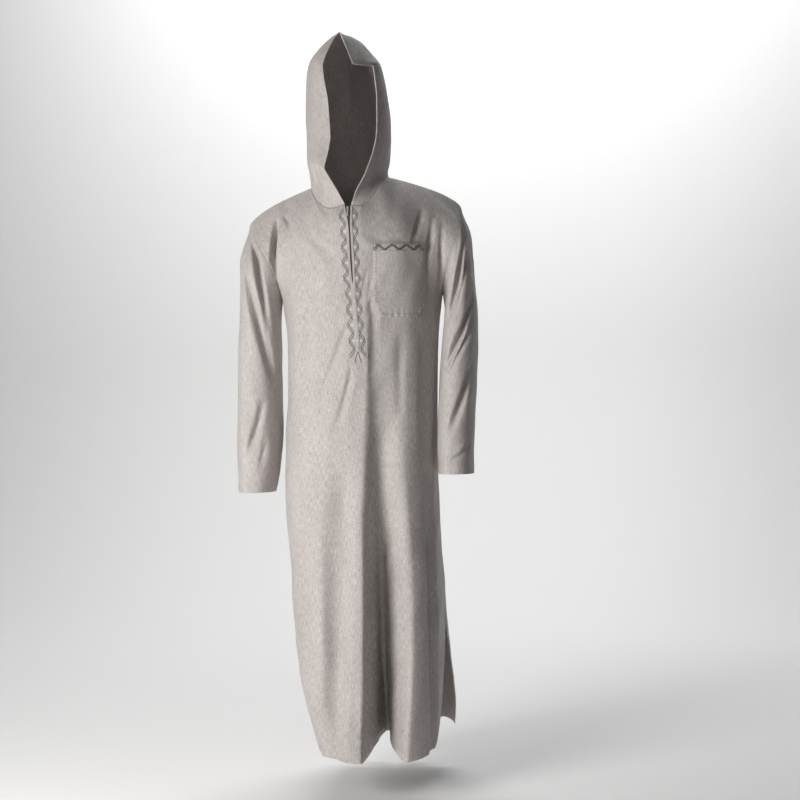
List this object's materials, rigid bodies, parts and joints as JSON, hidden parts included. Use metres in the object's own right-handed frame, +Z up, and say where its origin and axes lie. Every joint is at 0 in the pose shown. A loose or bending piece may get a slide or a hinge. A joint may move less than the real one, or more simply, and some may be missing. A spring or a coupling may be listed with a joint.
{
  "type": "hooded thobe robe",
  "caption": "Long hooded robe with straight sleeves, zipped half placket, zigzag embroidery, chest patch pocket and open side slits, hanging hollow as worn.",
  "frame": {"origin": "between the shoulders at the base of the neck, where the wearer's shoulders carry the robe", "axes": "+Z up along the wearer's neck, -Y forward, +X towards the wearer's left"},
  "size_m": [0.5969, 0.4297, 1.7251],
  "materials": {
    "thobe_fabric": "warm grey melange weave with a slight sheen",
    "trim_fabric": "the same cloth, folded and pressed flat",
    "zip_tape": "dark woven tape",
    "zip_metal": "satin nickel"
  },
  "bodies": {
    "robe": {"front": "thobe_fabric", "back": "thobe_fabric", "sleeve_right": "thobe_fabric", "sleeve_left": "thobe_fabric", "hood_right": "thobe_fabric", "hood_left": "thobe_fabric", "placket_band": "trim_fabric", "chest_pocket": "trim_fabric", "zip_tape": "zip_tape", "zip_slider": "zip_metal"},
    "pull_tab": {"zip_pull": "zip_metal"}
  },
  "joints": [
    {"name": "pull_swing", "type": "hinge", "parent": "robe", "child": "pull_tab", "pos_m": [0.00573, -0.11977, -0.07857], "axis": [-1, 0, 0], "range_deg": [0, 130]}
  ]
}
